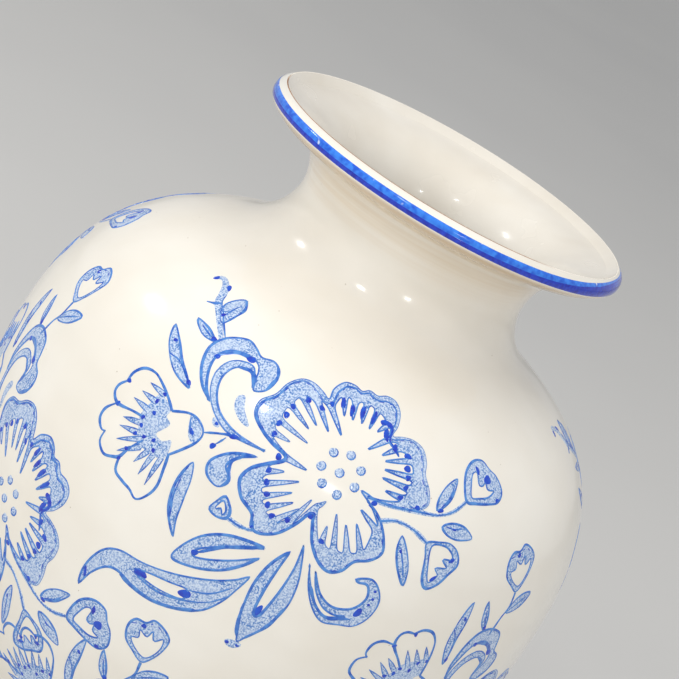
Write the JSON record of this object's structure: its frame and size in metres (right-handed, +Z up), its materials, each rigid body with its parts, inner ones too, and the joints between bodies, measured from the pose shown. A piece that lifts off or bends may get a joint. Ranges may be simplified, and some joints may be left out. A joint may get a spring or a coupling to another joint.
{
  "type": "pottery vase",
  "caption": "Round-bellied white-glazed pottery vase with a narrow neck, a wide flared lip edged in blue, and hand-painted blue flowers and leaves",
  "frame": {"origin": "centre of the foot ring's contact plane", "axes": "+Z up along the vase's axis, from the foot to the mouth; +X and +Y level; the side that is seen first faces -Y"},
  "size_m": [0.2534, 0.2536, 0.305],
  "materials": {
    "bare_clay": "unglazed fired buff earthenware, seen on the foot and the lip's crest",
    "white_glaze": "glossy ivory tin glaze with pinholes and a faint crawl",
    "cobalt_band": "brushed cobalt under a glossy glaze",
    "cobalt_paint": "hand-painted cobalt, in pale washes with darker pools"
  },
  "bodies": {
    "root": {"foot_ring": "bare_clay", "lower_body": "bare_clay", "upper_body": "bare_clay", "neck_collar": "bare_clay", "outer_glaze": "white_glaze", "inner_glaze": "white_glaze", "base_glaze": "white_glaze", "lip_band": "cobalt_band", "painted_blossoms": "cobalt_paint", "painted_fans": "cobalt_paint", "painted_leaves": "cobalt_paint", "painted_scrolls": "cobalt_paint", "painted_buds": "cobalt_paint", "painted_stems": "cobalt_paint"}
  },
  "joints": []
}
